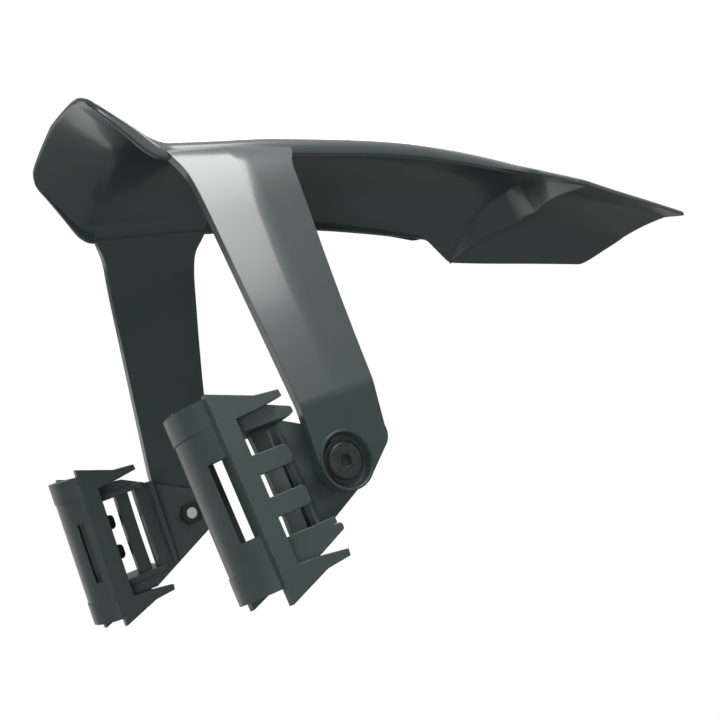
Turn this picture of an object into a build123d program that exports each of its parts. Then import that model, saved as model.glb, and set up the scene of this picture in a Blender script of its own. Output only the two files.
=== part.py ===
"""Front mudguard for a bicycle with a suspension fork.

One moulded blade with two arms pivots on two strap brackets, one on each fork leg.
Millimetres. +X is the bicycle's right side, +Y is forward and +Z is up.
The origin is the middle of the pivot axis that both brackets share.
"""

import os
from math import cos, radians, sin

from build123d import *

# Driving dimensions of the fork
leg_tilt = 23.0

# Driving dimensions of the blade, all on its inner surface
wall = 2.4
rim_half_width = 43.0
flare_start = 119.4
flare_widest = 141.0
flare_half_width = 52.4
nose_start = 224.5
nose_half_width = 37.5
nose_end = 236.0
nose_flat_half_width = 16.0
blade_rear = -57.0
scoop_end = -83.5
scoop_half_width = 35.4
scoop_corner = 6.0
scoop_bow = 1.5
rim_taper = 0.8
rim_margin = 20.0
crease_share = 0.3
kink_radius = 5.0
nose_radius = 4.0
rim_radius = 3.5
bead_width = 2.2
bead_front = 117.0
scoop_bead_bottom = 128.6
skirt = 16.0
block_floor = 60.0
block_ceiling = 240.0
above_blade = 220.0

# Driving dimensions of the rib under the nose
rib_thickness = 1.2
rib_end_bottom = 137.6
rib_knee = 19.0
rib_knee_bottom = 146.5
rib_middle_bottom = 148.3

# Driving dimensions of the arms
arm_thickness = 4.8
arm_facet_fall = 0.09
ridge_foot = 5.06
ridge_lean = 0.108
arm_face = 72.0
arm_foot = -14.0
arm_knee = 22.0
arm_bend = (rim_half_width + 10.2, 103.7)
arm_shoulder = (rim_half_width + 1.3, 119.5)
arm_root = (rim_half_width - 8.0, 125.5)
arm_bend_radius = 12.0
arm_inside = 20.0
arm_back = 10.0
arm_ceiling = 131.5
boss_radius = 10.1
boss_low_angle = -55.5
boss_clearance = 12.0

# Driving dimensions of the pivots
screw_diameter = 5.0
screw_play = 0.05
washer_play = 0.2
ear_play = 0.1
head_diameter = 12.4
head_height = 1.8
socket_across = 4.0
socket_depth = 1.5
washer_diameter = 14.8
washer_thickness = 0.6
recess_diameter = 17.6
recess_depth = 4.0
recess_lip = 0.7
nut_across = 8.6
nut_height = 2.8
screw_overhang = 0.4
running_gap = 0.3

# Driving dimensions of the strap brackets
ear_inner = 62.6
ear_outer = 65.6
ear_radius = 11.0
ear_angle = 63.7
ear_top_rear = 25.6
ear_top_front = (-23.5, 24.2)
ear_under_front = (-24.6, -23.0)
ear_under_rear = -22.0
cheek_outer = 79.5
cheek_inner = 50.5
cheek_wall = 2.8
cradle_shift = 1.8
cradle_lean = 5.3
lean_height = 40.0
spine_rear = -44.0
spine_front = -37.5
spine_wall = 3.2
spine_half_height = 33.0
spine_inset = 5.5
cheek_drop = 2.2
tooth_drop = 1.0
tooth_flare = 1.4
horn_tip = -20.3
horn_back = 28.0
horn_top = 27.4
horn_under = 25.2
horn_root = (-29.5, 23.7)
cheek_low = 23.0
opening_front = -19.8
opening_half_height = 17.0
fin_inner = 56.0
fin_outer = 75.0
fin_wall = 2.2
tooth_wall = 2.4
tooth_tip = -15.8
bar_wall = 3.2
bar_step = 0.4
bar_step_height = 21.3
bar_middle = 64.0
bar_apex = -51.0
bar_low = (cheek_inner + 0.7, spine_rear + 1.0)
bar_high = (cheek_outer - 2.0, spine_rear + 1.0)
bar_half_height = 30.0
window_rear = -48.5
slot_front = -46.6
window_bottom = -13.3
window_top = 11.5
arch_rear = -27.6
arch_width = 5.6
arch_wall = 2.8
arch_rise = 1.0
arch_drop = 0.6
tab_width = 6.2
tab_wall = 2.2
tab_bend = -31.0
tab_tip = -25.5
tab_lift = 1.0
tab_corner = 1.8
tab_centres = (5.8, -7.6)
curl_radius = 9.5
curl_wall = 1.9
curl_start = 28.0
curl_sweep = 64.0
curl_setback = 4.4

# Directions of the fork leg: forward of it and up along it
forward = Vector(0, cos(radians(leg_tilt)), sin(radians(leg_tilt)))
upward = Vector(0, -sin(radians(leg_tilt)), cos(radians(leg_tilt)))


def side_plane(x):
    """Plane seen from the right side: local x runs forward of the leg, local y up along it."""
    return Plane(origin=(x, 0, 0), x_dir=forward, z_dir=(1, 0, 0))


# Directions of the right cradle, which splays outwards towards its foot
lean = radians(cradle_lean)
cradle_out = Vector(cos(lean), 0, 0) + upward * sin(lean)
cradle_up = Vector(-sin(lean), 0, 0) + upward * cos(lean)
cradle_middle = (cheek_inner + cheek_outer) / 2
lean_top = Vector(cradle_middle, 0, 0) + upward * (lean_height + cradle_shift)
cradle_origin = lean_top - cradle_out * cradle_middle - cradle_up * lean_height


def cradle_side(x, drop=0.0):
    """Side plane of the leaning cradle, lowered by drop: local x runs forward, local y up the cradle."""
    origin = cradle_origin + cradle_out * x - cradle_up * drop
    return Plane(origin=origin, x_dir=forward, z_dir=cradle_out)


def cradle_section(height):
    """Plane across the cradle: local x runs outwards, local y runs forward of the leg."""
    return Plane(origin=cradle_origin + cradle_up * height, x_dir=cradle_out, z_dir=cradle_up)


def cradle_front(place):
    """Plane seen from in front of the cradle: local x runs outwards, local y up the cradle."""
    return Plane(origin=cradle_origin + forward * place, x_dir=cradle_out, z_dir=forward * -1)


# Sections of the blade and of its upturned rear scoop, each from rear to front
# y, half width and height of the crease, rise of the crown over it, slope of the side wall
blade_sections = [
    (blade_rear, 29.0, 117.8, 7.2, 0.52),
    (-35.0, 27.8, 125.5, 6.8, 0.57),
    (-7.6, 26.5, 134.9, 6.0, 0.61),
    (45.0, 24.0, 147.0, 5.4, 0.51),
    (82.0, 22.0, 151.4, 5.0, 0.46),
    (flare_start, 19.0, 155.0, 4.4, 0.50),
    (160.0, 16.5, 156.6, 3.4, 0.51),
    (200.0, 16.0, 157.3, 2.2, 0.49),
    (nose_end + 4.0, nose_flat_half_width, 157.4, 0.8, 0.46),
]
scoop_sections = [
    (scoop_end - 2.0, 24.0, 132.6, 1.5, 0.26),
    blade_sections[0],
]

# Lower edge of the bead along the rim: y and z
bead_line = [
    (blade_rear, 107.0),
    (-35.0, 113.6),
    (-7.6, 121.3),
    (45.0, 134.0),
    (57.0, 136.5),
    (82.0, 139.5),
    (flare_start, 143.4),
]

# Plan of the rib under the nose, right half: x and y
rib_plan = [(52.0, 141.3), (34.0, 142.0), (20.0, 145.5), (7.0, 150.5), (0.0, 151.0)]


def shell_blank(sections, rise):
    """Closed solid under a row of sections, raised from the inner surface by rise."""
    with BuildPart() as blank:
        for y, half, height, crown, slope in sections:
            with BuildSketch(Plane(origin=(0, y, 0), x_dir=(1, 0, 0), z_dir=(0, -1, 0))):
                with BuildLine():
                    edge = flare_half_width + skirt - half
                    low = height - slope * edge + rise * (1 + slope * slope) ** 0.5
                    crease = (half + rise * crease_share, height + rise)
                    Line((half + edge, low), crease)
                    ThreePointArc(crease, (0, height + crown + rise), (-crease[0], crease[1]))
                    Line((-crease[0], crease[1]), (-half - edge, low))
                    Line((-half - edge, low), (-half - edge, block_floor))
                    Line((-half - edge, block_floor), (half + edge, block_floor))
                    Line((half + edge, block_floor), (half + edge, low))
                make_face()
        loft()
    return blank.part


def blade_outline(inset):
    """Plan of the blade and scoop, set in from the rim by inset, as a tall prism."""
    with BuildPart() as prism:
        with BuildSketch():
            with BuildLine():
                right = [
                    (scoop_half_width, scoop_end + scoop_bow),
                    (rim_half_width, blade_rear),
                    (rim_half_width - rim_taper, flare_start),
                    (flare_half_width, flare_widest),
                    (nose_half_width, nose_start),
                    (nose_flat_half_width, nose_end),
                ]
                left = [(-x, y) for x, y in reversed(right)]
                Polyline([(0, scoop_end)] + right + left, close=True)
            face = make_face()
            ends = face.vertices()
            fillet([v for v in ends if v.Y > flare_start + 1.0], radius=nose_radius)
            fillet([v for v in ends if abs(v.Y - blade_rear) < 0.1], radius=kink_radius)
            fillet([v for v in ends if abs(v.Y - scoop_end - scoop_bow) < 0.1], radius=scoop_corner)
            if inset:
                offset(amount=-inset)
        extrude(amount=block_ceiling)
    return prism.part


outline = blade_outline(0.0)
inset_outline = blade_outline(bead_width)

# Solid blocks under the outer and the inner surface, blade and scoop together
with BuildPart() as outer_block:
    add(shell_blank(blade_sections, wall))
    add(shell_blank(scoop_sections, wall))
    add(outline, mode=Mode.INTERSECT)

with BuildPart() as inner_block:
    add(shell_blank(blade_sections, 0.0))
    add(shell_blank(scoop_sections, 0.0))


# Space under the blade inside its bead, and the space above the blade
with BuildPart() as wheel_space:
    add(inner_block.part)
    add(inset_outline, mode=Mode.INTERSECT)

with BuildPart() as above:
    add(outline)
    add(outer_block.part, mode=Mode.SUBTRACT)

# Bead that thickens the rim on its inner side
with BuildPart() as bead:
    with BuildSketch(Plane.YZ):
        with BuildLine():
            lower = Spline(bead_line)
            front_edge = Line(lower @ 1, (flare_start, above_blade))
            top_edge = Line(front_edge @ 1, (scoop_end - 1, above_blade))
            rear_edge = Line(top_edge @ 1, (scoop_end - 1, scoop_bead_bottom))
            Line(rear_edge @ 1, lower @ 0)
        make_face()
    extrude(amount=rim_half_width + 1.0, both=True)
    add(outer_block.part, mode=Mode.INTERSECT)
    add(inset_outline, mode=Mode.SUBTRACT)
    with Locations((0, bead_front + 20.0, 150)):
        Box(120, 40, 80, mode=Mode.SUBTRACT)

# Thin cross rib under the nose
with BuildPart() as rib:
    with BuildSketch():
        with BuildLine():
            half_plan = rib_plan + [(-x, y) for x, y in reversed(rib_plan[:-1])]
            rear = Spline([(x, y - rib_thickness / 2) for x, y in half_plan])
            front = Spline([(x, y + rib_thickness / 2) for x, y in half_plan])
            Line(rear @ 0, front @ 0)
            Line(rear @ 1, front @ 1)
        make_face()
    extrude(amount=above_blade)
    with BuildSketch(Plane.XZ):
        with BuildLine():
            Polyline(
                (flare_half_width, rib_end_bottom),
                (rib_knee, rib_knee_bottom),
                (0, rib_middle_bottom),
                (-rib_knee, rib_knee_bottom),
                (-flare_half_width, rib_end_bottom),
                (-flare_half_width, 200),
                (flare_half_width, 200),
                close=True,
            )
        make_face()
    extrude(amount=-200, mode=Mode.INTERSECT)
    add(outer_block.part, mode=Mode.INTERSECT)

# Right arm: its front view, drawn on the plane of the ridge that runs up its outer face
ridge_up = (upward + forward * ridge_lean).normalized()
ridge_plane = Plane(
    origin=forward * ridge_foot,
    x_dir=(1, 0, 0),
    z_dir=Vector(1, 0, 0).cross(ridge_up),
)


def arm_front_view(inset, side):
    """Face from the middle of the bicycle out to the arm's outer face, set in by inset."""
    foot = (side * (arm_face - inset), arm_foot - inset * 2)
    top = (side * (arm_root[0] - inset), arm_root[1] - inset * 0.6)
    back = side * (arm_back - inset * 2)
    with BuildSketch(ridge_plane) as view:
        with BuildLine():
            FilletPolyline(
                foot,
                (side * (arm_face - inset), arm_knee - inset * 0.12),
                (side * (arm_bend[0] - inset), arm_bend[1] - inset * 0.3),
                (side * (arm_shoulder[0] - inset), arm_shoulder[1] - inset * 0.5),
                top,
                radius=arm_bend_radius,
            )
            Polyline(
                top,
                (side * arm_inside, arm_ceiling - inset),
                (back, arm_ceiling - inset),
                (back, foot[1]),
                foot,
            )
        make_face()
    return view.sketch


# Side view of the arm: its rear edge up to the rim, its front edge down to the boss
rear_top = (-3.5, 113.8)
rear_sweep = (-4.9, 117.8)
rear_end = (-8.6, 119.6)
front_end = (45.6, 114.9)
front_sweep = (40.9, 112.6)
front_top = (38.7, 108.5)
front_middle = (26, 48)
front_low = (19.3, 6)
toe_round = (18.9, 2.2)
toe_front = (16.8, -0.2)
toe_low = (12, -3.7)
boss_low = (boss_radius * cos(radians(boss_low_angle)), boss_radius * sin(radians(boss_low_angle)))
boss_rear = (-boss_radius * cos(radians(45)), -boss_radius * cos(radians(45)))


def moulded_arm(side):
    """One arm with its pivot boss; side is 1 for the right arm and -1 for the left."""
    outward = Vector(side, 0, 0)
    boss_inner = ear_outer + running_gap
    with BuildPart() as moulding:
        add(arm_front_view(0.0, side))
        extrude(amount=60, dir=forward - outward * arm_facet_fall)
        add(arm_front_view(0.0, side))
        extrude(amount=60, dir=forward * -1 - outward * arm_facet_fall)
        add(arm_front_view(arm_thickness, side))
        extrude(amount=70, dir=forward, both=True, mode=Mode.SUBTRACT)
        with BuildSketch(side_plane(side * 10)):
            with BuildLine():
                Line((-boss_radius, 0), rear_top)
                ThreePointArc(rear_top, rear_sweep, rear_end)
                Polyline(rear_end, (-1.5, 136), (front_end[0], 136), front_end)
                ThreePointArc(front_end, front_sweep, front_top)
                ThreePointArc(front_top, front_middle, front_low)
                ThreePointArc(front_low, toe_round, toe_front)
                Polyline(toe_front, toe_low, boss_low)
                ThreePointArc(boss_low, boss_rear, (-boss_radius, 0))
            make_face()
        extrude(amount=side * 75, mode=Mode.INTERSECT)
        with BuildSketch(side_plane(side * boss_inner)):
            Circle(boss_radius)
        extrude(amount=side * (arm_face - boss_inner))
        with BuildSketch(side_plane(side * 40)):
            Circle(boss_radius + boss_clearance)
        extrude(amount=side * (boss_inner - 40), mode=Mode.SUBTRACT)
        with BuildSketch(side_plane(side * (arm_face - recess_depth))):
            Circle(recess_diameter / 2)
        extrude(amount=side * (recess_depth - recess_lip), mode=Mode.SUBTRACT)
        with BuildSketch(side_plane(side * (arm_face - recess_lip))):
            Circle(recess_diameter / 2)
        extrude(amount=side * recess_lip * 3, taper=-40, mode=Mode.SUBTRACT)
        with BuildSketch(side_plane(side * 40)):
            Circle(screw_diameter / 2 + screw_play)
        extrude(amount=side * 60, mode=Mode.SUBTRACT)
    return moulding.part


with BuildPart() as arms:
    add(moulded_arm(1))
    add(moulded_arm(-1))
    add(wheel_space.part, mode=Mode.SUBTRACT)
    add(above.part, mode=Mode.SUBTRACT)

with BuildPart() as blade:
    add(outer_block.part)
    rim = [
        e
        for e in blade.edges().filter_by(GeomType.BSPLINE)
        if e.center().Z > block_floor + rim_margin
        and abs(abs(e.center().X) - rim_half_width) < 2.0
        and blade_rear + rim_margin < e.center().Y < flare_start - rim_margin
    ]
    fillet(rim, radius=rim_radius)
    add(inner_block.part, mode=Mode.SUBTRACT)
    add(bead.part)
    add(rib.part)
    add(arms.part)


# Two finger tabs on the outer cheek of the right bracket, bent outwards, with rounded tips
tab_root = spine_front - 1.5
with BuildPart() as tabs:
    with BuildSketch(cradle_section(-opening_half_height)):
        with BuildLine():
            Polyline(
                (cheek_outer, tab_root),
                (cheek_outer, tab_bend),
                (cheek_outer + tab_lift, tab_tip),
                (cheek_outer + tab_lift - tab_wall, tab_tip),
                (cheek_outer - tab_wall, tab_bend),
                (cheek_outer - tab_wall, tab_root),
                close=True,
            )
        make_face()
    extrude(amount=opening_half_height * 2)
    with BuildSketch(cradle_side(cheek_outer - tab_wall)):
        for tab_centre in tab_centres:
            with Locations(((tab_root - tab_corner + tab_tip) / 2, tab_centre)):
                RectangleRounded(tab_tip - tab_root + tab_corner, tab_width, tab_corner)
    extrude(amount=tab_wall + tab_lift, mode=Mode.INTERSECT)

# Points where the round of the ear meets its straight edges
ear_high = (ear_radius * cos(radians(ear_angle)), ear_radius * sin(radians(ear_angle)))
ear_low = (ear_high[0], -ear_high[1])

# Strap bracket of the right leg
with BuildPart() as bracket:
    # Ear that carries the pivot, with the web that joins it to the spine
    with BuildSketch(side_plane(ear_inner)):
        with BuildLine():
            ear_top = Line((spine_front - 1, ear_top_rear), ear_top_front)
            ear_slope = Line(ear_top @ 1, ear_high)
            ear_round = ThreePointArc(ear_high, (ear_radius, 0), ear_low)
            ear_under = Line(ear_round @ 1, ear_under_front)
            ear_rear = Line(ear_under @ 1, (spine_front - 1, ear_under_rear))
            Line(ear_rear @ 1, ear_top @ 0)
        make_face()
    extrude(amount=ear_outer - ear_inner)
    # Spine walls above and below the opening, and the two cheeks with their horns
    spine_height = spine_half_height - spine_inset - opening_half_height
    spine_middle = opening_half_height + spine_height / 2
    with BuildSketch(cradle_side(cheek_inner)):
        with Locations(
            (spine_front - spine_wall / 2, spine_middle),
            (spine_front - spine_wall / 2, -spine_middle),
        ):
            Rectangle(spine_wall, spine_height)
    extrude(amount=cheek_outer - cheek_inner)
    for x, drop in ((cheek_inner, 0.0), (cheek_outer - cheek_wall, cheek_drop)):
        with BuildSketch(cradle_side(x, drop)):
            with BuildLine():
                Polyline(
                    (spine_rear, 0),
                    (spine_rear, spine_half_height),
                    (-29, horn_back),
                    (horn_tip, horn_top),
                    (horn_tip + 0.3, horn_under),
                    horn_root,
                    (spine_front, cheek_low),
                    (spine_front, 0),
                    close=True,
                )
            make_face()
            mirror(about=Plane.XZ)
        extrude(amount=cheek_wall)
    # Walls above and below the opening, each closed on its outer side by a tooth
    with BuildSketch(cradle_side(fin_inner)):
        with BuildLine():
            Polyline(
                (spine_front - 1, opening_half_height + fin_wall),
                (tooth_tip - 1.5, opening_half_height + fin_wall),
                (tooth_tip - 1.5, opening_half_height),
                (spine_front - 1, opening_half_height),
                close=True,
            )
        make_face()
        mirror(about=Plane.XZ)
    extrude(amount=fin_outer - fin_inner)
    with BuildSketch(cradle_side(fin_outer - tooth_wall, tooth_drop)):
        with BuildLine():
            Polyline(
                (spine_front - 1, opening_half_height),
                (spine_front - 1, 24.5),
                (-29, 25.6),
                (tooth_tip, opening_half_height + tooth_flare + 2.2),
                (tooth_tip, opening_half_height + tooth_flare),
                close=True,
            )
        tooth = make_face()
        fillet([v for v in tooth.vertices() if v.X > tooth_tip - 0.1], radius=1.0)
        mirror(about=Plane.XZ)
    extrude(amount=tooth_wall)
    # Opening behind the ear
    with BuildSketch(cradle_side(fin_inner - 2)):
        with Locations(((spine_front - 3 + opening_front) / 2, 0)):
            Rectangle(opening_front - spine_front + 3, opening_half_height * 2)
    extrude(amount=fin_outer - fin_inner + 4, mode=Mode.SUBTRACT)
    # Arch bar across the opening
    with BuildSketch(cradle_front(arch_rear + arch_width)):
        with BuildLine():
            arch_end = opening_half_height + 1.0
            arch_face = ear_outer - arch_drop
            low_end = (arch_face - arch_wall, -arch_end)
            top_end = (arch_face - arch_wall, arch_end)
            inner_arc = ThreePointArc(low_end, (low_end[0] + arch_rise, 0), top_end)
            top_line = Line(inner_arc @ 1, (arch_face, arch_end))
            outer_arc = ThreePointArc(top_line @ 1, (arch_face + arch_rise, 0), (arch_face, -arch_end))
            Line(outer_arc @ 1, inner_arc @ 0)
        make_face()
    extrude(amount=arch_width)
    # Concave wall at the front of the opening, which curls inwards from the ear
    with BuildSketch(cradle_section(-opening_half_height - 1.0)):
        with BuildLine():
            centre = (ear_outer - arch_drop - curl_radius, opening_front - curl_setback)
            reach = curl_radius + curl_wall
            start = radians(curl_start)
            finish = radians(curl_start + curl_sweep)
            CenterArc(centre, curl_radius, curl_start, curl_sweep)
            CenterArc(centre, reach, curl_start, curl_sweep)
            Line(
                (centre[0] + curl_radius * cos(start), centre[1] + curl_radius * sin(start)),
                (centre[0] + reach * cos(start), centre[1] + reach * sin(start)),
            )
            Line(
                (centre[0] + curl_radius * cos(finish), centre[1] + curl_radius * sin(finish)),
                (centre[0] + reach * cos(finish), centre[1] + reach * sin(finish)),
            )
        make_face()
    extrude(amount=opening_half_height * 2 + 2.0)
    # Curved bar at the rear, stepped and closed at its ends
    for apex, half_height in ((bar_apex, bar_half_height), (bar_apex - bar_step, bar_half_height)):
        stepped = apex != bar_apex
        with BuildSketch(cradle_section(-half_height)):
            with BuildLine():
                bar_outer = ThreePointArc(bar_low, (bar_middle, apex), bar_high)
                bar_end = Line(bar_outer @ 1, (bar_high[0] - bar_wall * 1.1, bar_high[1]))
                bar_inner = ThreePointArc(
                    bar_end @ 1,
                    (bar_middle, bar_apex + bar_wall),
                    (bar_low[0] + bar_wall * 1.1, bar_low[1]),
                )
                Line(bar_inner @ 1, bar_outer @ 0)
            make_face()
        extrude(amount=half_height - bar_step_height if stepped else half_height * 2)
    with BuildSketch(cradle_section(bar_step_height)):
        with BuildLine():
            ThreePointArc(bar_low, (bar_middle, bar_apex - bar_step), bar_high)
            Line(bar_high, bar_low)
        make_face()
    extrude(amount=bar_half_height - bar_step_height)
    for end in (-bar_half_height, bar_half_height - bar_wall):
        with BuildSketch(cradle_section(end)):
            with BuildLine():
                ThreePointArc(bar_low, (bar_middle, bar_apex), bar_high)
                Line(bar_high, bar_low)
            make_face()
        extrude(amount=bar_wall)
    # Strap window under the bar: wide on the outer side, a narrow slot on the inner side
    window_middle = (window_top + window_bottom) / 2
    window_height = window_top - window_bottom
    with BuildSketch(cradle_side(bar_middle)):
        with Locations(((window_rear + spine_rear) / 2, window_middle)):
            Rectangle(spine_rear - window_rear, window_height)
    extrude(amount=cheek_outer - bar_middle + 2, mode=Mode.SUBTRACT)
    with BuildSketch(cradle_side(cheek_inner - 1)):
        with Locations(((window_rear + slot_front) / 2, window_middle)):
            Rectangle(slot_front - window_rear, window_height)
    extrude(amount=bar_middle - cheek_inner + 2, mode=Mode.SUBTRACT)
    add(tabs.part)
    # Hole for the pivot screw
    with BuildSketch(side_plane(ear_inner - 1)):
        Circle(screw_diameter / 2 + ear_play)
    extrude(amount=ear_outer - ear_inner + 2, mode=Mode.SUBTRACT)


# Pivot of the right side: a socket-head screw, a washer under its head and a nut behind the ear
washer_seat = arm_face - recess_depth + running_gap
head_seat = washer_seat + washer_thickness
nut_seat = ear_inner

with BuildPart() as screw:
    with BuildSketch(side_plane(head_seat)):
        Circle(head_diameter / 2)
    extrude(amount=head_height)
    rim = screw.edges().filter_by(GeomType.CIRCLE).group_by(Axis.X)[-1]
    fillet(rim, radius=0.6)
    with BuildSketch(side_plane(head_seat + head_height - socket_depth)):
        RegularPolygon(socket_across / 2, 6, major_radius=False)
    extrude(amount=head_height, mode=Mode.SUBTRACT)
    with BuildSketch(side_plane(nut_seat - nut_height - screw_overhang)):
        Circle(screw_diameter / 2)
    extrude(amount=head_seat - nut_seat + nut_height + screw_overhang)
    tip = screw.edges().filter_by(GeomType.CIRCLE).group_by(Axis.X)[0]
    chamfer(tip, length=0.5)

with BuildPart() as washer:
    with BuildSketch(side_plane(washer_seat)):
        Circle(washer_diameter / 2)
        Circle(screw_diameter / 2 + washer_play, mode=Mode.SUBTRACT)
    extrude(amount=washer_thickness)

with BuildPart() as nut:
    with BuildSketch(side_plane(nut_seat - nut_height)):
        RegularPolygon(nut_across / 2, 6, major_radius=False)
    extrude(amount=nut_height)
    with BuildSketch(side_plane(nut_seat - nut_height)):
        Circle(nut_across * 0.56)
    extrude(amount=nut_height, mode=Mode.INTERSECT)
    with BuildSketch(side_plane(nut_seat - nut_height)):
        Circle(screw_diameter / 2)
    extrude(amount=nut_height, mode=Mode.SUBTRACT)

os.makedirs("parts", exist_ok=True)
blade.part.label = "mudguard_blade"
export_step(blade.part, "parts/mudguard_blade.step")

pieces = {"bracket": bracket, "pivot_screw": screw, "pivot_washer": washer, "pivot_nut": nut}
for name, piece in pieces.items():
    piece.part.label = name + "_right"
    export_step(piece.part, "parts/" + name + "_right.step")
    opposite = mirror(piece.part, about=Plane.YZ)
    opposite.label = name + "_left"
    export_step(opposite, "parts/" + name + "_left.step")
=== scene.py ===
# %% [markdown]
# # A front mudguard that straps to a suspension fork
# The real object is nearly all one material: a hard moulded plastic, black with a green tinge.
# The brackets and the pivots keep the imported shape. The guard itself gets a finer skin here.
# The frame is loaded first.

# %% Load the frame
from math import radians

import bmesh
import bpy
from mathutils import Matrix, Vector


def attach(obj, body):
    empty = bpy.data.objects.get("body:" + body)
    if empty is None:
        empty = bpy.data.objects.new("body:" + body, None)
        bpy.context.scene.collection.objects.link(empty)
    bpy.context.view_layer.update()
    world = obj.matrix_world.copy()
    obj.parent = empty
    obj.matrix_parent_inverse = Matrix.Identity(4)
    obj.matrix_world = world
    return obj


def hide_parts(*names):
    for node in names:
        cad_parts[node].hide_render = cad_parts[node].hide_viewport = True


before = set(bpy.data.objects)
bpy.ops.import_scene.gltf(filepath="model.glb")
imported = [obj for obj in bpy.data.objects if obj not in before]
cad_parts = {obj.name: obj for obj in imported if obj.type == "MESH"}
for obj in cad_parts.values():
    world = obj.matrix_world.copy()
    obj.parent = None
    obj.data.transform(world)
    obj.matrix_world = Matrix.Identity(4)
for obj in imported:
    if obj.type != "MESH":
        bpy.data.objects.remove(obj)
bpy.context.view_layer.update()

print("nodes:", sorted(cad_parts))

# %% [markdown]
# ## Small helpers for materials
# A procedural material is a graph of nodes, and most of its code only adds nodes and joins them.
# Two short helpers keep that plain: one makes a node with its values, one makes a colour.

# %% Helpers for node trees
def node(tree, kind, at=(0, 0), **settings):
    """A new shader node of that kind, with its settings, at a place in the editor."""
    made = tree.nodes.new(kind)
    made.location = at
    for name, value in settings.items():
        setattr(made, name, value)
    return made


def wire(tree, source, output, target, entry):
    """Joins one node's output to another node's input, both by name."""
    tree.links.new(source.outputs[output], target.inputs[entry])


# %% [markdown]
# ## Moulded grain
# A steel mould is spark-eroded, and the plastic copies its fine pits. The eye reads this as satin.
# The pits are a few tenths of a millimetre across, too small for geometry, so noise drives a bump.
# The same group serves the blade, the brackets and the steel, each with its own size and depth.

# %% Shared group: moulded grain
def moulded_grain_group():
    """Group that gives the height of a fine erosion grain and how dull it makes the surface."""
    group = bpy.data.node_groups.new("Moulded grain", "ShaderNodeTree")
    face = group.interface
    size = face.new_socket("Grain size", in_out="INPUT", socket_type="NodeSocketFloat")
    size.default_value = 0.0004
    gloss = face.new_socket("Roughness", in_out="INPUT", socket_type="NodeSocketFloat")
    gloss.default_value = 0.3
    spread = face.new_socket("Roughness spread", in_out="INPUT", socket_type="NodeSocketFloat")
    spread.default_value = 0.06
    face.new_socket("Height", in_out="OUTPUT", socket_type="NodeSocketFloat")
    face.new_socket("Roughness", in_out="OUTPUT", socket_type="NodeSocketFloat")
    entry = node(group, "NodeGroupInput", (-800, 0))
    leave = node(group, "NodeGroupOutput", (500, 0))
    place = node(group, "ShaderNodeTexCoord", (-800, -300))
    per_metre = node(group, "ShaderNodeMath", (-600, 0), operation="DIVIDE")
    per_metre.inputs[0].default_value = 1.0
    wire(group, entry, "Grain size", per_metre, 1)
    pits = node(group, "ShaderNodeTexNoise", (-350, 100))
    pits.inputs["Detail"].default_value = 2.0
    pits.inputs["Roughness"].default_value = 0.6
    wire(group, place, "Object", pits, "Vector")
    wire(group, per_metre, "Value", pits, "Scale")
    flow = node(group, "ShaderNodeTexNoise", (-350, -200))
    flow.inputs["Scale"].default_value = 28.0
    flow.inputs["Detail"].default_value = 3.0
    wire(group, place, "Object", flow, "Vector")
    centred = node(group, "ShaderNodeMath", (-150, -200), operation="SUBTRACT")
    centred.inputs[1].default_value = 0.5
    wire(group, flow, "Fac", centred, 0)
    change = node(group, "ShaderNodeMath", (50, -200), operation="MULTIPLY")
    wire(group, centred, "Value", change, 0)
    wire(group, entry, "Roughness spread", change, 1)
    total = node(group, "ShaderNodeMath", (250, -200), operation="ADD")
    wire(group, change, "Value", total, 0)
    wire(group, entry, "Roughness", total, 1)
    wire(group, pits, "Fac", leave, "Height")
    wire(group, total, "Value", leave, "Roughness")
    return group


moulded_grain = moulded_grain_group()
print("group sockets:", [s.name for s in moulded_grain.interface.items_tree])

# %% [markdown]
# ## Cloudy pigment
# Black masterbatch is never mixed perfectly: the plastic is a little greener or greyer in soft clouds.
# The clouds are centimetres wide and very faint, so the surface isn't one flat colour.

# %% Shared group: cloudy pigment
def pigment_group():
    """Group that mixes two nearly equal colours in soft clouds."""
    group = bpy.data.node_groups.new("Cloudy pigment", "ShaderNodeTree")
    face = group.interface
    face.new_socket("Main colour", in_out="INPUT", socket_type="NodeSocketColor")
    face.new_socket("Cloud colour", in_out="INPUT", socket_type="NodeSocketColor")
    clouds = face.new_socket("Clouds per metre", in_out="INPUT", socket_type="NodeSocketFloat")
    clouds.default_value = 40.0
    face.new_socket("Colour", in_out="OUTPUT", socket_type="NodeSocketColor")
    entry = node(group, "NodeGroupInput", (-600, 0))
    leave = node(group, "NodeGroupOutput", (400, 0))
    place = node(group, "ShaderNodeTexCoord", (-600, -300))
    cloud = node(group, "ShaderNodeTexNoise", (-350, -100))
    cloud.inputs["Detail"].default_value = 4.0
    wire(group, place, "Object", cloud, "Vector")
    wire(group, entry, "Clouds per metre", cloud, "Scale")
    soft = node(group, "ShaderNodeMapRange", (-100, -100), interpolation_type="SMOOTHSTEP")
    soft.inputs["From Min"].default_value = 0.3
    soft.inputs["From Max"].default_value = 0.7
    wire(group, cloud, "Fac", soft, "Value")
    mix = node(group, "ShaderNodeMix", (150, 0), data_type="RGBA")
    group.links.new(soft.outputs["Result"], mix.inputs["Factor"])
    group.links.new(entry.outputs["Main colour"], mix.inputs[6])
    group.links.new(entry.outputs["Cloud colour"], mix.inputs[7])
    group.links.new(mix.outputs[2], leave.inputs["Colour"])
    return group


pigment = pigment_group()

# %% [markdown]
# ## Moulded plastic
# The blade is glossier than the brackets, which have deeper grain so that a strap grips them.
# A Bevel node rounds the shading at each sharp edge by the radius that a mould leaves there,
# and this gives the thin bright lines along the edges that the real part shows.
# Numbers that are the same everywhere are set on the shader's own sockets.

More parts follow.
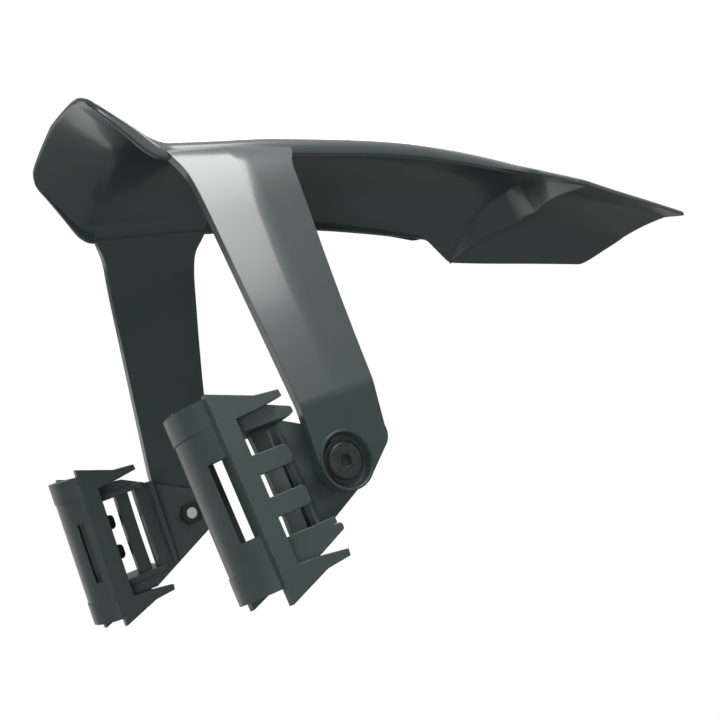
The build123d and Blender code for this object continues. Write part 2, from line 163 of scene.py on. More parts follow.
# %% Plastic material
def plastic(name, colour, cloud, roughness, grain_size, grain_depth, edge_radius, coat):
    """A satin moulded plastic with grain, cloudy pigment and softened edges."""
    material = bpy.data.materials.new(name)
    material.use_nodes = True
    tree = material.node_tree
    shader = tree.nodes["Principled BSDF"]
    shader.inputs["IOR"].default_value = 1.5
    shader.inputs["Coat Weight"].default_value = coat
    shader.inputs["Coat Roughness"].default_value = 0.12
    tint = node(tree, "ShaderNodeGroup", (-500, 200), node_tree=pigment)
    tint.inputs["Main colour"].default_value = (*colour, 1.0)
    tint.inputs["Cloud colour"].default_value = (*cloud, 1.0)
    wire(tree, tint, "Colour", shader, "Base Color")
    grain = node(tree, "ShaderNodeGroup", (-700, -100), node_tree=moulded_grain)
    grain.inputs["Grain size"].default_value = grain_size
    grain.inputs["Roughness"].default_value = roughness
    wire(tree, grain, "Roughness", shader, "Roughness")
    edge = node(tree, "ShaderNodeBevel", (-500, -400), samples=6)
    edge.inputs["Radius"].default_value = edge_radius
    bump = node(tree, "ShaderNodeBump", (-250, -200))
    bump.inputs["Strength"].default_value = 0.35
    bump.inputs["Distance"].default_value = grain_depth
    wire(tree, grain, "Height", bump, "Height")
    wire(tree, edge, "Normal", bump, "Normal")
    wire(tree, bump, "Normal", shader, "Normal")
    return material


blade_plastic = plastic(
    "Satin blade plastic",
    colour=(0.021, 0.036, 0.033),
    cloud=(0.024, 0.039, 0.036),
    roughness=0.30,
    grain_size=0.00035,
    grain_depth=0.00001,
    edge_radius=0.0006,
    coat=0.5,
)
bracket_plastic = plastic(
    "Grained bracket plastic",
    colour=(0.026, 0.040, 0.037),
    cloud=(0.030, 0.044, 0.041),
    roughness=0.42,
    grain_size=0.00045,
    grain_depth=0.00002,
    edge_radius=0.0005,
    coat=0.15,
)

# %% [markdown]
# ## Blackened steel
# The screw, washer and nut are steel with a black oxide finish. It is darker and less green than the
# plastic, and it is rubbed a little brighter in small patches. The cut end of the screw is left bare.

# %% Blackened steel
bare_colour = (0.62, 0.64, 0.63, 1.0)
screw_end = 0.0598


def blackened_steel(name, colour, rubbed, roughness, bare_inside=0.0):
    """Steel under black oxide, rubbed in patches, and bare nearer the middle than bare_inside."""
    material = bpy.data.materials.new(name)
    material.use_nodes = True
    tree = material.node_tree
    shader = tree.nodes["Principled BSDF"]
    shader.inputs["Metallic"].default_value = 0.55
    tint = node(tree, "ShaderNodeGroup", (-500, 200), node_tree=pigment)
    tint.inputs["Main colour"].default_value = (*colour, 1.0)
    tint.inputs["Cloud colour"].default_value = (*rubbed, 1.0)
    tint.inputs["Clouds per metre"].default_value = 700.0
    place = node(tree, "ShaderNodeTexCoord", (-1100, 500))
    across = node(tree, "ShaderNodeSeparateXYZ", (-900, 500))
    wire(tree, place, "Object", across, "Vector")
    away = node(tree, "ShaderNodeMath", (-700, 500), operation="ABSOLUTE")
    wire(tree, across, "X", away, 0)
    bare = node(tree, "ShaderNodeMath", (-500, 500), operation="LESS_THAN")
    bare.inputs[1].default_value = bare_inside
    wire(tree, away, "Value", bare, 0)
    skin = node(tree, "ShaderNodeMix", (-250, 300), data_type="RGBA")
    wire(tree, bare, "Value", skin, "Factor")
    wire(tree, tint, "Colour", skin, 6)
    skin.inputs[7].default_value = bare_colour
    wire(tree, skin, 2, shader, "Base Color")
    grain = node(tree, "ShaderNodeGroup", (-700, -100), node_tree=moulded_grain)
    grain.inputs["Grain size"].default_value = 0.0003
    grain.inputs["Roughness"].default_value = roughness
    grain.inputs["Roughness spread"].default_value = 0.15
    wire(tree, grain, "Roughness", shader, "Roughness")
    edge = node(tree, "ShaderNodeBevel", (-500, -400), samples=6)
    edge.inputs["Radius"].default_value = 0.0003
    bump = node(tree, "ShaderNodeBump", (-250, -200))
    bump.inputs["Strength"].default_value = 0.3
    bump.inputs["Distance"].default_value = 0.00001
    wire(tree, grain, "Height", bump, "Height")
    wire(tree, edge, "Normal", bump, "Normal")
    wire(tree, bump, "Normal", shader, "Normal")
    return material


screw_steel = blackened_steel(
    "Blackened screw steel",
    colour=(0.030, 0.040, 0.038),
    rubbed=(0.050, 0.060, 0.057),
    roughness=0.36,
    bare_inside=screw_end,
)
nut_steel = blackened_steel(
    "Blackened nut steel",
    colour=(0.022, 0.028, 0.027),
    rubbed=(0.040, 0.048, 0.046),
    roughness=0.42,
)

# %% [markdown]
# ## The moulded guard: why its skin is built again
# The blade and both arms are one moulding, whose rims are rounded and whose arms flow into them.
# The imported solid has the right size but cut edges, so it stays for contact and is hidden here.
# A mesh in rows gives control of each rounding: one row is one cross-section of the blade.
# Every length below is in millimetres, and the main ones are the same as on the solid.

# %% Sizes of the blade
mm = 0.001
wall = 2.4
scoop_wall = 1.4
nose_wall = 1.7
blade_rear = -57.0
flare_start = 119.4
flare_widest = 141.0
nose_start = 224.5
nose_end = 236.0
scoop_tip = -83.5
scoop_bend = 7.0
side_reach = 68.4
crease_share = 0.3
crease_round = 3.0

# y, half width and height of the crease, rise of the crown over it, slope of the side wall
stations = [
    (scoop_tip - 2.0, 24.0, 132.6, 1.5, 0.26),
    (blade_rear, 29.0, 117.8, 7.2, 0.52),
    (-35.0, 27.8, 125.5, 6.8, 0.57),
    (-7.6, 26.5, 134.9, 6.0, 0.61),
    (45.0, 24.0, 147.0, 5.4, 0.51),
    (82.0, 22.0, 151.4, 5.0, 0.46),
    (flare_start, 19.0, 155.0, 4.4, 0.50),
    (160.0, 16.5, 156.6, 3.4, 0.51),
    (200.0, 16.0, 157.3, 2.2, 0.49),
    (nose_end + 4.0, 16.0, 157.4, 0.8, 0.46),
]
# y and half width of the plan
widths = [
    (-84.0, 34.8),
    (blade_rear, 43.0),
    (flare_start, 42.2),
    (flare_widest, 52.4),
    (nose_start, 37.5),
    (nose_end, 16.0),
]
# y and height of the lower edge of the bead
bead_edge = [
    (-84.5, 128.6),
    (blade_rear, 107.0),
    (-35.0, 113.6),
    (-7.6, 121.3),
    (45.0, 134.0),
    (82.0, 139.5),
    (flare_start, 143.4),
]

# %% [markdown]
# ## Curves through a few rows
# The blade is given at ten places only. Between them a cubic curve passes through the rows, and
# where the scoop turns up, a short curve of three points (Bezier) rounds the corner.

# %% Interpolation
def mix(a, b, t):
    """The value a share t of the way from a to b."""
    return a + (b - a) * t


def ease(low, high, value):
    """0 below low, 1 above high, and a smooth step between them."""
    t = min(1.0, max(0.0, (value - low) / (high - low)))
    return t * t * (3.0 - 2.0 * t)


def straight(table, y, column):
    """Value of a column of the table at y, by straight lines."""
    for before, after in zip(table, table[1:]):
        if y <= after[0] or after is table[-1]:
            return mix(before[column], after[column], (y - before[0]) / (after[0] - before[0]))


def curved(table, y, column):
    """Value of a column of the table at y, by a curve that passes smoothly through its rows."""
    last = len(table) - 1
    place = next((i for i in range(1, last) if y <= table[i][0]), last)
    y0, y1 = table[place - 1][0], table[place][0]
    p0, p1 = table[place - 1][column], table[place][column]
    step = y1 - y0
    rise0 = rise1 = (p1 - p0) / step
    if place - 1 > 0:
        rise0 = (p1 - table[place - 2][column]) / (y1 - table[place - 2][0])
    if place < last:
        rise1 = (table[place + 1][column] - p0) / (table[place + 1][0] - y0)
    t = (y - y0) / step
    return (
        p0 * (2 * t**3 - 3 * t**2 + 1)
        + rise0 * step * (t**3 - 2 * t**2 + t)
        + p1 * (3 * t**2 - 2 * t**3)
        + rise1 * step * (t**3 - t**2)
    )


def rounded(value, y, corners):
    """value(y) with each corner (place, reach) of it rounded over that reach."""
    for place, reach in corners:
        if abs(y - place) < reach:
            low, high = value(place - reach), value(place + reach)
            middle = value(place)
            t = (y - place + reach) / (2 * reach)
            return low * (1 - t) ** 2 + 2 * middle * t * (1 - t) + high * t**2
    return value(y)


def behind_or_ahead(table, y, column):
    """Value of a table whose first two rows are the scoop, straight, and the rest the blade, curved."""
    if y < blade_rear:
        return straight(table[:2], y, column)
    return curved(table[1:], y, column)


def section(y):
    """Half width and height of the crease, rise of the crown and slope of the side at y."""
    corners = [(blade_rear, scoop_bend)]
    return [rounded(lambda at: behind_or_ahead(stations, at, c), y, corners) for c in range(1, 5)]


def half_width(y):
    """Half width of the blade's plan at y, with its corners rounded."""
    corners = [(blade_rear, 4.0), (flare_start, 3.0), (flare_widest, 3.0), (nose_start, 3.0)]
    return rounded(lambda at: straight(widths, at, 1), y, corners)


def thickness(y):
    """Wall of the blade at y, thinner at the tips of the scoop and the nose."""
    thin = mix(scoop_wall, wall, ease(scoop_tip, blade_rear - 4.0, y))
    return mix(thin, nose_wall, ease(flare_start + 20.0, nose_end, y))


def surface(x, y, rise):
    """Height of the blade at x and y: its inner surface for rise 0, its outer for the wall."""
    half, height, crown, slope = section(y)
    reach = side_reach - half
    crease = half + crease_share * rise
    top = height + rise
    low = height - slope * reach + rise * (1 + slope * slope) ** 0.5
    fall = (top - low) / (half + reach - crease)
    radius = (crease * crease + crown * crown) / (2 * crown)
    arc = top + crown - radius + (radius * radius - min(abs(x), 0.9 * radius) ** 2) ** 0.5
    line = top - fall * (abs(x) - crease)
    return mix(arc, line, ease(crease - crease_round, crease + crease_round, abs(x)))


print("section at y 45:", [round(v, 2) for v in section(45.0)])

# %% [markdown]
# ## One ring of the blade
# A ring runs over the top, round the right rim, back under the blade and round the left rim.
# The rim has a large round outside and a bead inside. Where the bead ends, at the flare, both
# shrink to the plain edge of the wall. Curves of three points (Bezier) draw each round.

# %% Ring of points
across_steps = 22
round_steps = 6
bead_width = 2.2
bead_round = 0.7
bead_root = 1.2
bead_fade = 9.0
rim_reach = 4.4
plain_reach = 0.9


def bend(start, corner, stop, steps):
    """Points of a round from start to stop that heads for the corner between them."""
    points = []
    for i in range(steps + 1):
        t = i / steps
        legs = zip(start, corner, stop)
        points.append(tuple(a * (1 - t) ** 2 + 2 * b * t * (1 - t) + c * t**2 for a, b, c in legs))
    return points


def bead_bottom(y):
    """Height of the lower edge of the rim's bead at y."""
    return rounded(lambda at: behind_or_ahead(bead_edge, at, 1), y, [(blade_rear, 5.0)])


def half_ring(y, half):
    """Points (x, z) of the right half of a ring at y, from the crown over the rim to the ceiling."""
    rise = thickness(y)
    beaded = 1.0 - ease(flare_start - bead_fade, flare_start + 1.0, y)
    beaded *= ease(scoop_tip + 2.0, blade_rear + 2.0, y) * 0.8 + 0.2
    reach = mix(plain_reach, rim_reach, beaded * ease(blade_rear - 8.0, blade_rear + 6.0, y))
    lowest = surface(half, y, 0.0)
    if y < flare_start:
        lowest = min(bead_bottom(y), lowest - 0.1)

    def outer(x):
        return surface(x, y, rise)

    def inner(x):
        return surface(x, y, 0.0)

    def under(x):
        return mix(inner(x), lowest, beaded)

    crest = half - reach * 0.9
    toe = half - bead_width
    start = toe - bead_root
    side_low = outer(half) - reach
    lip = min(bead_round, (side_low - under(half)) * 0.45)
    toe_low, toe_high = under(toe), inner(toe)
    over = [crest * i / across_steps for i in range(across_steps)]
    below = [start * i / across_steps for i in range(across_steps - 1, -1, -1)]
    ring = [(x, outer(x)) for x in over]
    ring += bend((crest, outer(crest)), (half, outer(half)), (half, side_low), round_steps)
    ring += bend((half, under(half) + lip), (half, under(half)), (half - lip, under(half - lip)), 3)
    ring += bend((toe + lip, under(toe + lip)), (toe, toe_low), (toe, mix(toe_low, toe_high, 0.35)), 3)
    ring += bend((toe, mix(toe_low, toe_high, 0.6)), (toe, toe_high), (start, inner(start)), 3)
    ring += [(x, inner(x)) for x in below]
    return ring


# %% [markdown]
# ## The blade as rows of rings
# Rows lie closer together where the plan turns: at the scoop's bend, the flare and the nose.
# The scoop's rows bow with its rounded end. The last rows at each end close in on the middle of
# the wall, so the free edge is round and not cut square.

# %% Blade mesh
scoop_corner = 6.0
corner_y = -76.2
scoop_bow = 1.5
scoop_rows = 18
wide_step = 3.0
fine_step = 1.2
fine_reach = 8.0


def scoop_edge(share):
    """y of the scoop's rear edge at a share of its half width."""
    half = half_width(corner_y)
    bow = scoop_bow * share
    turn = min(share * half - (half - scoop_corner), scoop_corner)
    if turn <= 0:
        return scoop_tip + bow
    round_off = (scoop_corner**2 - turn**2) ** 0.5
    return min(corner_y, corner_y - round_off + bow * 0.2)


def rows_of_blade():
    """Rows as (share of the scoop or None, y, squeeze of the wall)."""
    rows = [(1.0, None, 0.3), (0.992, None, 0.72), (0.975, None, 1.0)]
    rows += [(0.95 - 0.05 * i, None, 1.0) for i in range(scoop_rows)]
    y = blade_rear
    while y < nose_end - 1.0:
        rows.append((None, y, 1.0))
        near = min(abs(y - at) for at in (blade_rear, flare_start, flare_widest, nose_start))
        y += fine_step if near < fine_reach else wide_step
    rows += [(None, nose_end - 0.9, 1.0), (None, nose_end - 0.25, 0.72), (None, nose_end, 0.3)]
    return rows


def ring_points(share, y, squeeze):
    """Points of one whole ring, in millimetres."""
    on_scoop = share is not None
    side_y = mix(blade_rear, scoop_edge(1.0), share) if on_scoop else y
    half = half_width(side_y)
    right = half_ring(side_y, half)
    points = []
    for sign, run in ((1, right), (-1, right[-2:0:-1])):
        for x, z in run:
            at = side_y
            if on_scoop:
                at = mix(blade_rear, scoop_edge(min(1.0, x / half)), share)
                z += surface(x, at, 0.0) - surface(x, side_y, 0.0)
            middle = surface(x, at, thickness(at) / 2)
            points.append((sign * x, at, mix(middle, z, squeeze)))
    return points


def add_tube(body, rings, closed_start=True):
    """Adds a tube of equal rings, in millimetres, to a bmesh."""
    made = [[body.verts.new((x * mm, y * mm, z * mm)) for x, y, z in ring] for ring in rings]
    for lower, upper in zip(made, made[1:]):
        for i in range(len(lower)):
            j = (i + 1) % len(lower)
            body.faces.new((lower[i], lower[j], upper[j], upper[i]))
    if closed_start:
        body.faces.new(list(reversed(made[0])))
    body.faces.new(made[-1])


skin = bmesh.new()
blade_rings = [ring_points(*row) for row in rows_of_blade()]
add_tube(skin, blade_rings)
print("blade:", len(blade_rings), "rings of", len(blade_rings[0]), "points")

# %% [markdown]
# ## The arms flow into the rim
# The arm leans back by 23 degrees, so its own frame has v across it and w up along it. The lower
# arm with its boss is copied from the solid, cut square across at one height, which gives the
# arm's true section. The section is carried up a curve that leaves along the arm and arrives
# along the blade's side, so the arm bends gently and runs flush into the rim.

# %% Sizes of the arms
arm_cut = 70.0
arm_reach = 100.0
arm_bend = 94.0
arm_wall = 4.8
corner_guess = 118.0
corner_rounds = 12
straight_rows = 6
bend_rows = 20
blend_wall = 1.2
landing_x = 33.5
landing_rear = -53.0
landing_front = -4.0
landing_lift = 0.12
landing_sink = 0.5
edge_flare = 3.0
facet_fall = 0.09
ridge_foot = 5.06
ridge_lean = 0.108
ridge_share = 0.51
ridge_length = 1.0058
ridge_round = 3.5
lean_y, lean_z = 0.92, 0.391

# w and v of the arm's rear and front edges, and w and x of its ridge
rear_edge = [(0.0, -10.1), (113.8, -3.5), (140.0, -2.0)]
front_edge = [(48.0, 26.0), (108.5, 38.7), (140.0, 45.3)]
ridge_line = [(22.0, 72.0), (103.7, 53.2)]

# %% Shape of the arms
def ridge_offset(v, w):
    """How far v is from the ridge at w."""
    return abs(v - ridge_foot - ridge_lean * w)


def arm_outer(share, w):
    """Point (x, v, w) of the straight arm's outer face at a share of its width."""
    v = mix(straight(rear_edge, w, 1), straight(front_edge, w, 1), share)
    ridge = straight(ridge_line, w * ridge_length, 1)
    return ridge - facet_fall * ridge_offset(v, w), v, w


def upright(x, v, w):
    """The arm's leaning frame turned into the part's own."""
    return Vector((x, lean_y * v - lean_z * w, lean_z * v + lean_y * w))


def leaning(y, z):
    """v and w of a point of the part."""
    return lean_y * y + lean_z * z, lean_y * z - lean_z * y


def arm_corner(share):
    """Where the straight arm would meet the blade's side, carried outwards."""
    w = corner_guess
    for _ in range(corner_rounds):
        x, v, _w = arm_outer(share, w)
        y = lean_y * v - lean_z * w
        w = (surface(x, y, wall) - lean_z * v) / lean_y
    return upright(*arm_outer(share, w))


def arm_point(share, t):
    """Point of the arm's outer face, t from 0 at the start of the bend to 1 in the blade."""
    start = upright(*arm_outer(share, arm_bend))
    corner = arm_corner(share)
    y = mix(landing_rear, landing_front, share)
    sideways = (2.0 * min(1.0, max(0.0, share)) - 1.0) ** 3
    spread = Vector((0, edge_flare * ease(0.22, 0.6, t) ** 2 * sideways, 0))
    height = surface(landing_x, y, wall) + landing_lift - landing_sink * ease(0.9, 1.0, t)
    stop = Vector((landing_x, y, height))
    return start * (1 - t) ** 2 + corner * (2 * t * (1 - t)) + stop * t**2 + spread


def inward(share, t):
    """Direction from the arm's outer face to its inner one."""
    along = arm_point(share, min(1.0, t + 0.01)) - arm_point(share, max(0.0, t - 0.01))
    across = arm_point(share + 0.01, t) - arm_point(share - 0.01, t)
    normal = along.cross(across).normalized()
    if normal.x > 0:
        normal.negate()
    return Vector((-1, 0, 0)).lerp(normal, ease(0.0, 0.5, t)).normalized()


def cut_arm(solid, sign):
    """The lower part of one arm of the solid, and the loop of points at its cut."""
    piece = bmesh.new()
    piece.from_mesh(solid.data)
    plane = Vector((0.0, -lean_z, lean_y))
    bmesh.ops.bisect_plane(
        piece,
        geom=piece.verts[:] + piece.edges[:] + piece.faces[:],
        plane_co=plane * arm_cut * mm,
        plane_no=plane,
        clear_outer=True,
    )
    other = [v for v in piece.verts if v.co.x * sign < 0 or v.co.y > arm_reach * mm]
    bmesh.ops.delete(piece, geom=other, context="VERTS")
    bmesh.ops.remove_doubles(piece, verts=piece.verts[:], dist=1e-7)
    flat = radians(0.4)
    bmesh.ops.dissolve_limit(piece, angle_limit=flat, verts=piece.verts[:], edges=piece.edges[:])
    rim = [e for e in piece.edges if len(e.link_faces) == 1]
    loop = [rim[0].verts[0]]
    step = rim[0]
    while True:
        after = step.other_vert(loop[-1])
        if after is loop[0]:
            break
        loop.append(after)
        step = next(e for e in after.link_edges if len(e.link_faces) == 1 and e is not step)
    return piece, [v.co / mm for v in loop]


def upper_arm(loop, sign):
    """Rings of the upper arm, from the loop of points at the cut, and its points on the ridge."""
    low_v, high_v = straight(rear_edge, arm_cut, 1), straight(front_edge, arm_cut, 1)
    marks = []
    for x, y, z in loop:
        share = (leaning(y, z)[0] - low_v) / (high_v - low_v)
        marks.append((share, (arm_outer(share, arm_cut)[0] - abs(x)) / arm_wall))
    rings = [[Vector((sign * p.x, p.y, p.z)) for p in loop]]
    for i in range(1, straight_rows):
        w = mix(arm_cut, arm_bend, i / straight_rows)
        ring = []
        for share, depth in marks:
            x, v, _w = arm_outer(share, w)
            ring.append(upright(x - depth * arm_wall, v, w))
        rings.append(ring)
    for i in range(bend_rows + 1):
        t = i / bend_rows
        deep = mix(arm_wall, blend_wall, ease(0.35, 1.0, t))
        rings.append([arm_point(share, t) + inward(share, t) * depth * deep for share, depth in marks])
    on_outside = [abs(share - ridge_share) + 10.0 * abs(depth) for share, depth in marks]
    middle = on_outside.index(min(on_outside))
    rings = [[Vector((sign * p.x, p.y, p.z)) for p in ring] for ring in rings]
    return rings, [ring[middle] for ring in rings]


def on_ridge(vertex):
    """Whether a vertex lies on the ridge between the arm's two outer facets."""
    at = vertex.co / mm
    v, w = leaning(at.y, at.z)
    if w > arm_cut - 0.1:
        return any((at - point).length < 0.01 for point in ridge_points)
    return ridge_offset(v, w) < 0.2 and abs(at.x) > straight(ridge_line, w * ridge_length, 1) - 0.3


# %% Both arms
ridge_points = []
solid_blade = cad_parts["mudguard_blade"]
for sign in (1, -1):
    lower, loop = cut_arm(solid_blade, sign)
    rings, on_crest = upper_arm(loop, sign)
    ridge_points += on_crest
    add_tube(skin, rings, closed_start=False)
    held = bpy.data.meshes.new("lower_arm")
    lower.to_mesh(held)
    skin.from_mesh(held)
    print("arm", sign, "cut at", len(loop), "points, lower part of", len(held.polygons), "faces")

# %% [markdown]
# ## The cross rib
# A thin rib hangs under the nose, from one rim to the other, bowed forwards in the middle. It leans
# back towards its root, so that its rear face turns a little down and catches light from below.

# %% Rib
rib_end = 51.6
rib_columns = 49
rib_wall = 1.2
rib_lean = 0.55

# x and y of the rib's lower edge, and x and height of it
rib_plan = [(0.0, 151.0), (7.0, 150.5), (20.0, 145.5), (34.0, 142.0), (rib_end, 141.3)]
rib_low = [(0.0, 146.3), (19.0, 144.4), (34.0, 141.4), (rib_end, 137.9)]


def rib_ring(x):
    """Section of the rib at x: a thin plate with a rounded lower edge, sunk into the blade."""
    y = curved(rib_plan, abs(x), 1)
    low = curved(rib_low, abs(x), 1)
    back = rib_lean * (surface(x, y, wall / 2) - low)
    high = surface(x, y - back, wall / 2)
    half = rib_wall / 2
    outline = [(-half - back, high), (-half, low + half), (-half * 0.7, low + half * 0.3), (0, low)]
    outline += [(half * 0.7, low + half * 0.3), (half, low + half), (half - back, high)]
    return [(x, y + across, z) for across, z in outline]


rib_step = 2 * rib_end / (rib_columns - 1)
add_tube(skin, [rib_ring(-rib_end + rib_step * i) for i in range(rib_columns)])

# %% [markdown]
# ## Put the skin in the blade's place
# The arm's ridge is rounded, so its highlight fades over a few millimetres. Faces that meet at
# less than 35 degrees are shaded smooth, and the normals follow the larger faces, so flats stay flat.

# %% Skin object
smooth_below = radians(35.0)
bmesh.ops.remove_doubles(skin, verts=skin.verts[:], dist=2e-6)
bmesh.ops.recalc_face_normals(skin, faces=skin.faces[:])
ridge_edges = [e for e in skin.edges if on_ridge(e.verts[0]) and on_ridge(e.verts[1])]
bmesh.ops.bevel(
    skin,
    geom=ridge_edges,
    offset=ridge_round * mm,
    offset_type="OFFSET",
    segments=4,
    profile=0.5,
    affect="EDGES",
)
print("ridge edges:", len(ridge_edges))
print("open edges:", sum(len(e.link_faces) != 2 for e in skin.edges))
print("triangles:", sum(len(f.verts) - 2 for f in skin.faces))
print("volume, mm3:", round(skin.calc_volume() / mm**3))
skin_mesh = bpy.data.meshes.new("moulded_guard")
skin.to_mesh(skin_mesh)
skin_mesh.shade_smooth()
moulded_guard = bpy.data.objects.new("moulded_guard", skin_mesh)
bpy.context.scene.collection.objects.link(moulded_guard)
skin_mesh.set_sharp_from_angle(angle=smooth_below)
weighted = moulded_guard.modifiers.new("Flat faces stay flat", "WEIGHTED_NORMAL")
weighted.keep_sharp = True
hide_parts("mudguard_blade")
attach(moulded_guard, "blade")
moulded_guard.data.materials.append(blade_plastic)

# %% [markdown]
# ## Dress the nodes
# A CAD node keeps its mesh. Only its material slots are filled, by the kind of piece it is. The
# blade's own node is hidden, and takes the same plastic as the skin that stands for it.

# %% Give each node its material
finishes = {
    "mudguard_blade": blade_plastic,
    "bracket": bracket_plastic,
    "pivot_screw": screw_steel,
    "pivot_washer": screw_steel,
    "pivot_nut": nut_steel,
}
for name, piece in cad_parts.items():
    finish = next(f for start, f in finishes.items() if name.startswith(start))
    for place in range(max(1, len(piece.material_slots))):
        if not piece.material_slots:
            piece.data.materials.append(finish)
        else:
            piece.material_slots[place].material = finish
    print(name, "->", finish.name)

# %% [markdown]
# ## Camera
# The photograph looks up at the guard from its right rear, as someone crouching beside the wheel
# would. The camera's place and its three axes were measured from the blade's own symmetry.

# %% Camera
camera_place = Vector((0.3458, -0.1648, -0.0600))
camera_right = Vector((0.5200, 0.8560, -0.0310))
camera_ahead = Vector((-0.8160, 0.5080, 0.2810))
camera_data = bpy.data.cameras.new("Camera")
camera_data.lens = 50.0
camera_data.sensor_width = 36.0
camera_data.clip_start = 0.01
camera = bpy.data.objects.new("Camera", camera_data)
bpy.context.scene.collection.objects.link(camera)
back = -camera_ahead.normalized()
side = (camera_right - back * camera_right.dot(back)).normalized()
above = back.cross(side)
camera_turn = Matrix((side, above, back)).transposed().to_4x4()
camera.matrix_world = Matrix.Translation(camera_place) @ camera_turn
bpy.context.scene.camera = camera
print("camera looks along", [round(v, 3) for v in camera_ahead])

# %% [markdown]
# ## Floor
# A pale floor lies well below the brackets. To the lamps it is grey, so it takes the guard's shadow
# and throws little light up. To the camera it is white, all the more the further it is from the
# guard, and a small share of that white shows in reflections, as in a studio sweep.

# %% Floor
floor_drop = 0.40
floor_reach = 30.0
shadow_reach = 0.25
white_reach = 0.60
seen_white = 0.85
mirrored_white = 0.05
floor_grey = (0.18, 0.18, 0.18, 1.0)


def white_sweep_material():
    """White to the camera, a little in reflections, and grey to the lamps."""
    material = bpy.data.materials.new("White sweep")
    material.use_nodes = True
    tree = material.node_tree
    tree.nodes.clear()
    out = node(tree, "ShaderNodeOutputMaterial", (600, 0))
    plain = node(tree, "ShaderNodeBsdfDiffuse", (0, -100))
    plain.inputs["Color"].default_value = floor_grey
    glow = node(tree, "ShaderNodeEmission", (0, 100))
    glow.inputs["Color"].default_value = (1.0, 1.0, 1.0, 1.0)
    glow.inputs["Strength"].default_value = 1.0
    path = node(tree, "ShaderNodeLightPath", (-200, 400))
    choose = node(tree, "ShaderNodeMixShader", (300, 0))
    seen = node(tree, "ShaderNodeMath", (0, 500), operation="MAXIMUM")
    wire(tree, path, "Is Camera Ray", seen, 0)
    wire(tree, path, "Is Transmission Ray", seen, 1)
    spot = node(tree, "ShaderNodeTexCoord", (-600, 700))
    reach = node(tree, "ShaderNodeVectorMath", (-400, 700), operation="LENGTH")
    wire(tree, spot, "Object", reach, "Vector")
    fade = node(tree, "ShaderNodeMapRange", (-200, 700), interpolation_type="SMOOTHSTEP")
    fade.inputs["From Min"].default_value = shadow_reach
    fade.inputs["From Max"].default_value = white_reach
    fade.inputs["To Min"].default_value = seen_white
    fade.inputs["To Max"].default_value = 1.0
    wire(tree, reach, "Value", fade, "Value")
    share = node(tree, "ShaderNodeMath", (100, 400), operation="MULTIPLY")
    wire(tree, seen, "Value", share, 0)
    wire(tree, fade, "Result", share, 1)
    mirrored = node(tree, "ShaderNodeMath", (100, 200), operation="MULTIPLY")
    mirrored.inputs[1].default_value = mirrored_white
    wire(tree, path, "Is Glossy Ray", mirrored, 0)
    white = node(tree, "ShaderNodeMath", (250, 300), operation="MAXIMUM")
    wire(tree, share, "Value", white, 0)
    wire(tree, mirrored, "Value", white, 1)
    tree.links.new(white.outputs[0], choose.inputs[0])
    tree.links.new(plain.outputs[0], choose.inputs[1])
    tree.links.new(glow.outputs[0], choose.inputs[2])
    tree.links.new(choose.outputs[0], out.inputs["Surface"])
    return material


bpy.ops.mesh.primitive_plane_add(size=floor_reach, location=(0, 0, -floor_drop))
floor = bpy.context.object
floor.name = "studio_floor"
floor.data.materials.append(white_sweep_material())

# %% [markdown]
# ## World
# The world is white to the camera, and a small share of that white shows in reflections. Else it
# is bright overhead and dim below, because a satin black shows its form mostly by what it mirrors.

# %% World
world = bpy.data.worlds.new("Studio")
bpy.context.scene.world = world
world.use_nodes = True
sky = world.node_tree
sky.nodes.clear()
sky_out = node(sky, "ShaderNodeOutputWorld", (900, 0))
ray = node(sky, "ShaderNodeLightPath", (-600, 500))
aim = node(sky, "ShaderNodeTexCoord", (-900, 0))
split = node(sky, "ShaderNodeSeparateXYZ", (-700, 0))
wire(sky, aim, "Generated", split, "Vector")
height = node(sky, "ShaderNodeMapRange", (-450, 0), interpolation_type="SMOOTHSTEP")
height.inputs["From Min"].default_value = -0.05
height.inputs["From Max"].default_value = 0.9
height.inputs["To Min"].default_value = 0.03
height.inputs["To Max"].default_value = 1.0
wire(sky, split, "Z", height, "Value")
soft_light = node(sky, "ShaderNodeBackground", (0, -100))
wire(sky, height, "Result", soft_light, "Strength")
backdrop = node(sky, "ShaderNodeBackground", (0, 100))
backdrop.inputs["Color"].default_value = (1.0, 1.0, 1.0, 1.0)
backdrop.inputs["Strength"].default_value = 1.0
pick = node(sky, "ShaderNodeMixShader", (500, 0))
straight_on = node(sky, "ShaderNodeMath", (-350, 500), operation="MAXIMUM")
wire(sky, ray, "Is Camera Ray", straight_on, 0)
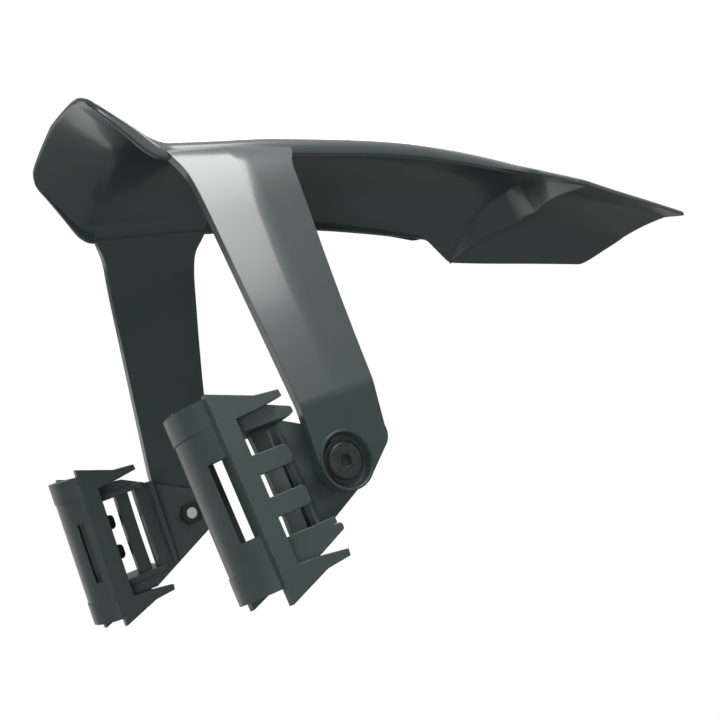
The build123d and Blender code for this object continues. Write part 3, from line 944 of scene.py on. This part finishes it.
wire(sky, ray, "Is Transmission Ray", straight_on, 1)
in_mirror = node(sky, "ShaderNodeMath", (-350, 300), operation="MULTIPLY")
in_mirror.inputs[1].default_value = mirrored_white
wire(sky, ray, "Is Glossy Ray", in_mirror, 0)
backdrop_share = node(sky, "ShaderNodeMath", (-100, 400), operation="MAXIMUM")
wire(sky, straight_on, "Value", backdrop_share, 0)
wire(sky, in_mirror, "Value", backdrop_share, 1)
wire(sky, backdrop_share, "Value", pick, 0)
sky.links.new(soft_light.outputs[0], pick.inputs[1])
sky.links.new(backdrop.outputs[0], pick.inputs[2])
sky.links.new(pick.outputs[0], sky_out.inputs["Surface"])

# %% [markdown]
# ## Lamps
# A large softbox stands high on the right. It is what the top of the near arm mirrors, and its lower
# edge is where that arm's highlight fades. A long one stands low at the left rear, where the rib
# mirrors it. A fill beside the camera lifts the shadows, and isn't mirrored, so it leaves no spots.

# %% Lamps
guard_centre = Vector((0.0, 0.0, 0.09))


def softbox(name, toward, distance, width, height, power, mirrored=True):
    """An area lamp in that direction from the centre of the guard, turned to face it."""
    data = bpy.data.lights.new(name, "AREA")
    data.shape = "RECTANGLE"
    data.size = width
    data.size_y = height
    data.energy = power
    lamp = bpy.data.objects.new(name, data)
    bpy.context.scene.collection.objects.link(lamp)
    lamp.visible_camera = False
    lamp.visible_glossy = mirrored
    direction = Vector(toward).normalized()
    lamp.location = guard_centre + direction * distance
    lamp.rotation_euler = direction.to_track_quat("Z", "Y").to_euler()
    return lamp


softbox("Key softbox", (0.50, -0.05, 0.86), 1.3, 0.62, 1.05, 17.0)
softbox("Camera side fill", (0.74, -0.50, -0.34), 1.1, 0.4, 0.4, 13.0, mirrored=False)
softbox("Low rear softbox", (-0.80, -0.50, -0.22), 1.3, 2.0, 0.7, 4.2)
softbox("Rear strip", (-0.60, 0.30, 0.74), 1.5, 0.8, 0.4, 5.0)

# %% [markdown]
# ## Finish
# The view transform is Standard, so a colour renders as written.

# %% Finish
bpy.context.scene.view_settings.view_transform = "Standard"
